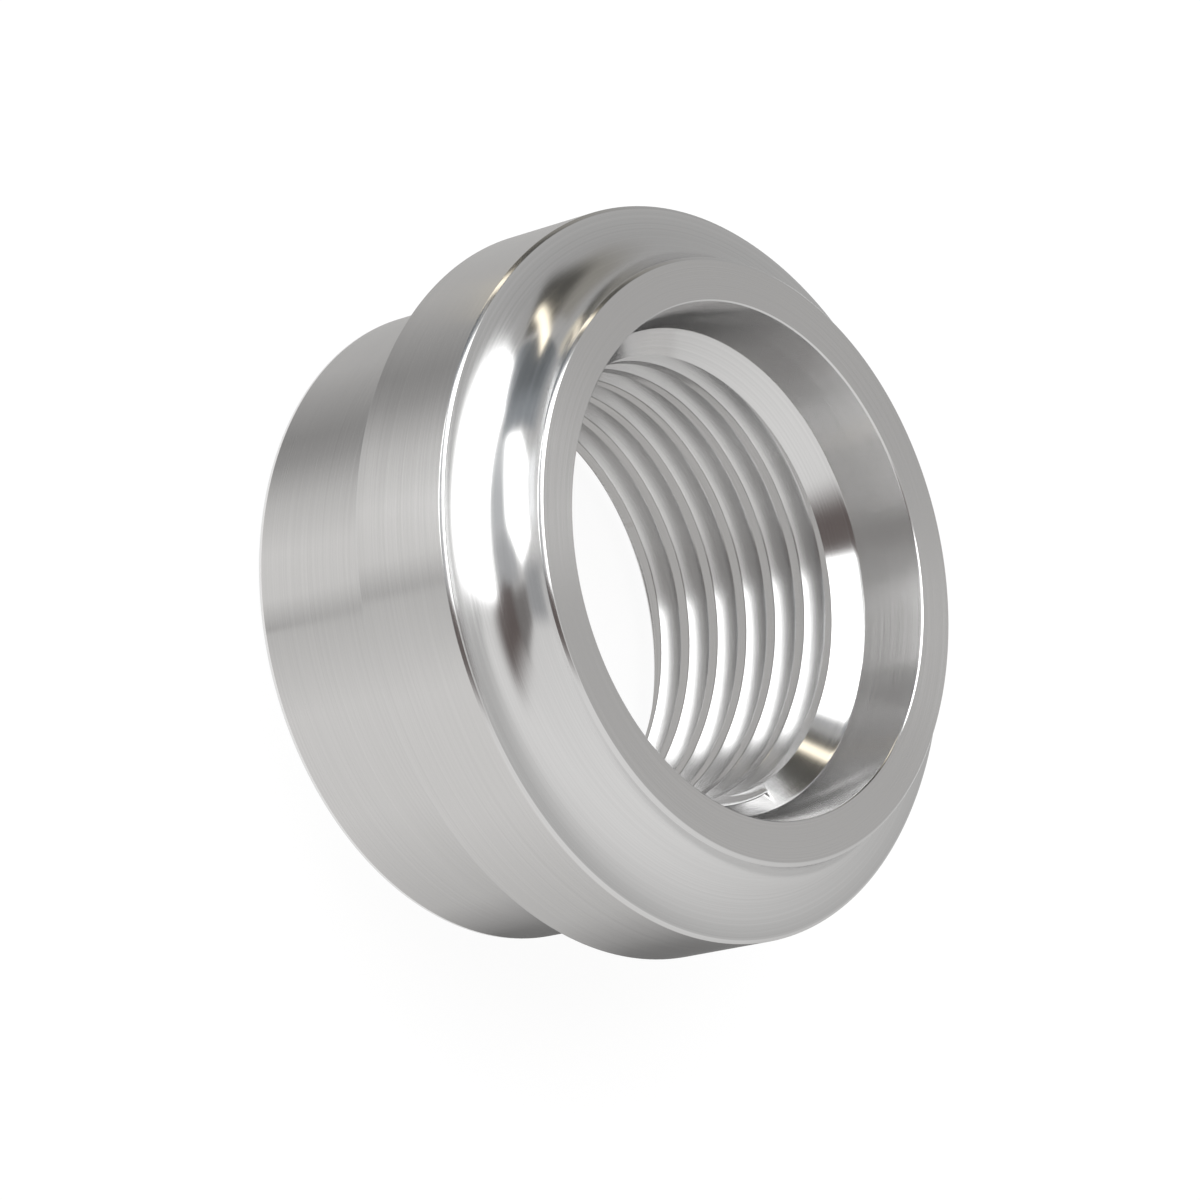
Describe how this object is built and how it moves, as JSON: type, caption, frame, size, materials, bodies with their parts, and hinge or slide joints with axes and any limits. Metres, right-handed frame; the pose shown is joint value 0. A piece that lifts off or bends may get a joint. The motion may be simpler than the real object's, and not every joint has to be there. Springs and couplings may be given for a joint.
{
  "type": "weld-on fitting",
  "caption": "Round aluminium weld-in bung with a flange, a spigot to weld through a wall, and a female straight-thread port with a tapered O-ring seat.",
  "frame": {"origin": "centre of the weld spigot's end face, where the part stands", "axes": "+Z along the axis, from the weld end towards the port's mouth, which looks up; X and Y across"},
  "size_m": [0.034, 0.034, 0.0167],
  "materials": {
    "turned_aluminium": "fine turned, satin on the outside and bright in the cove and the port"
  },
  "bodies": {
    "root": {"fitting_body": "turned_aluminium"}
  },
  "joints": []
}
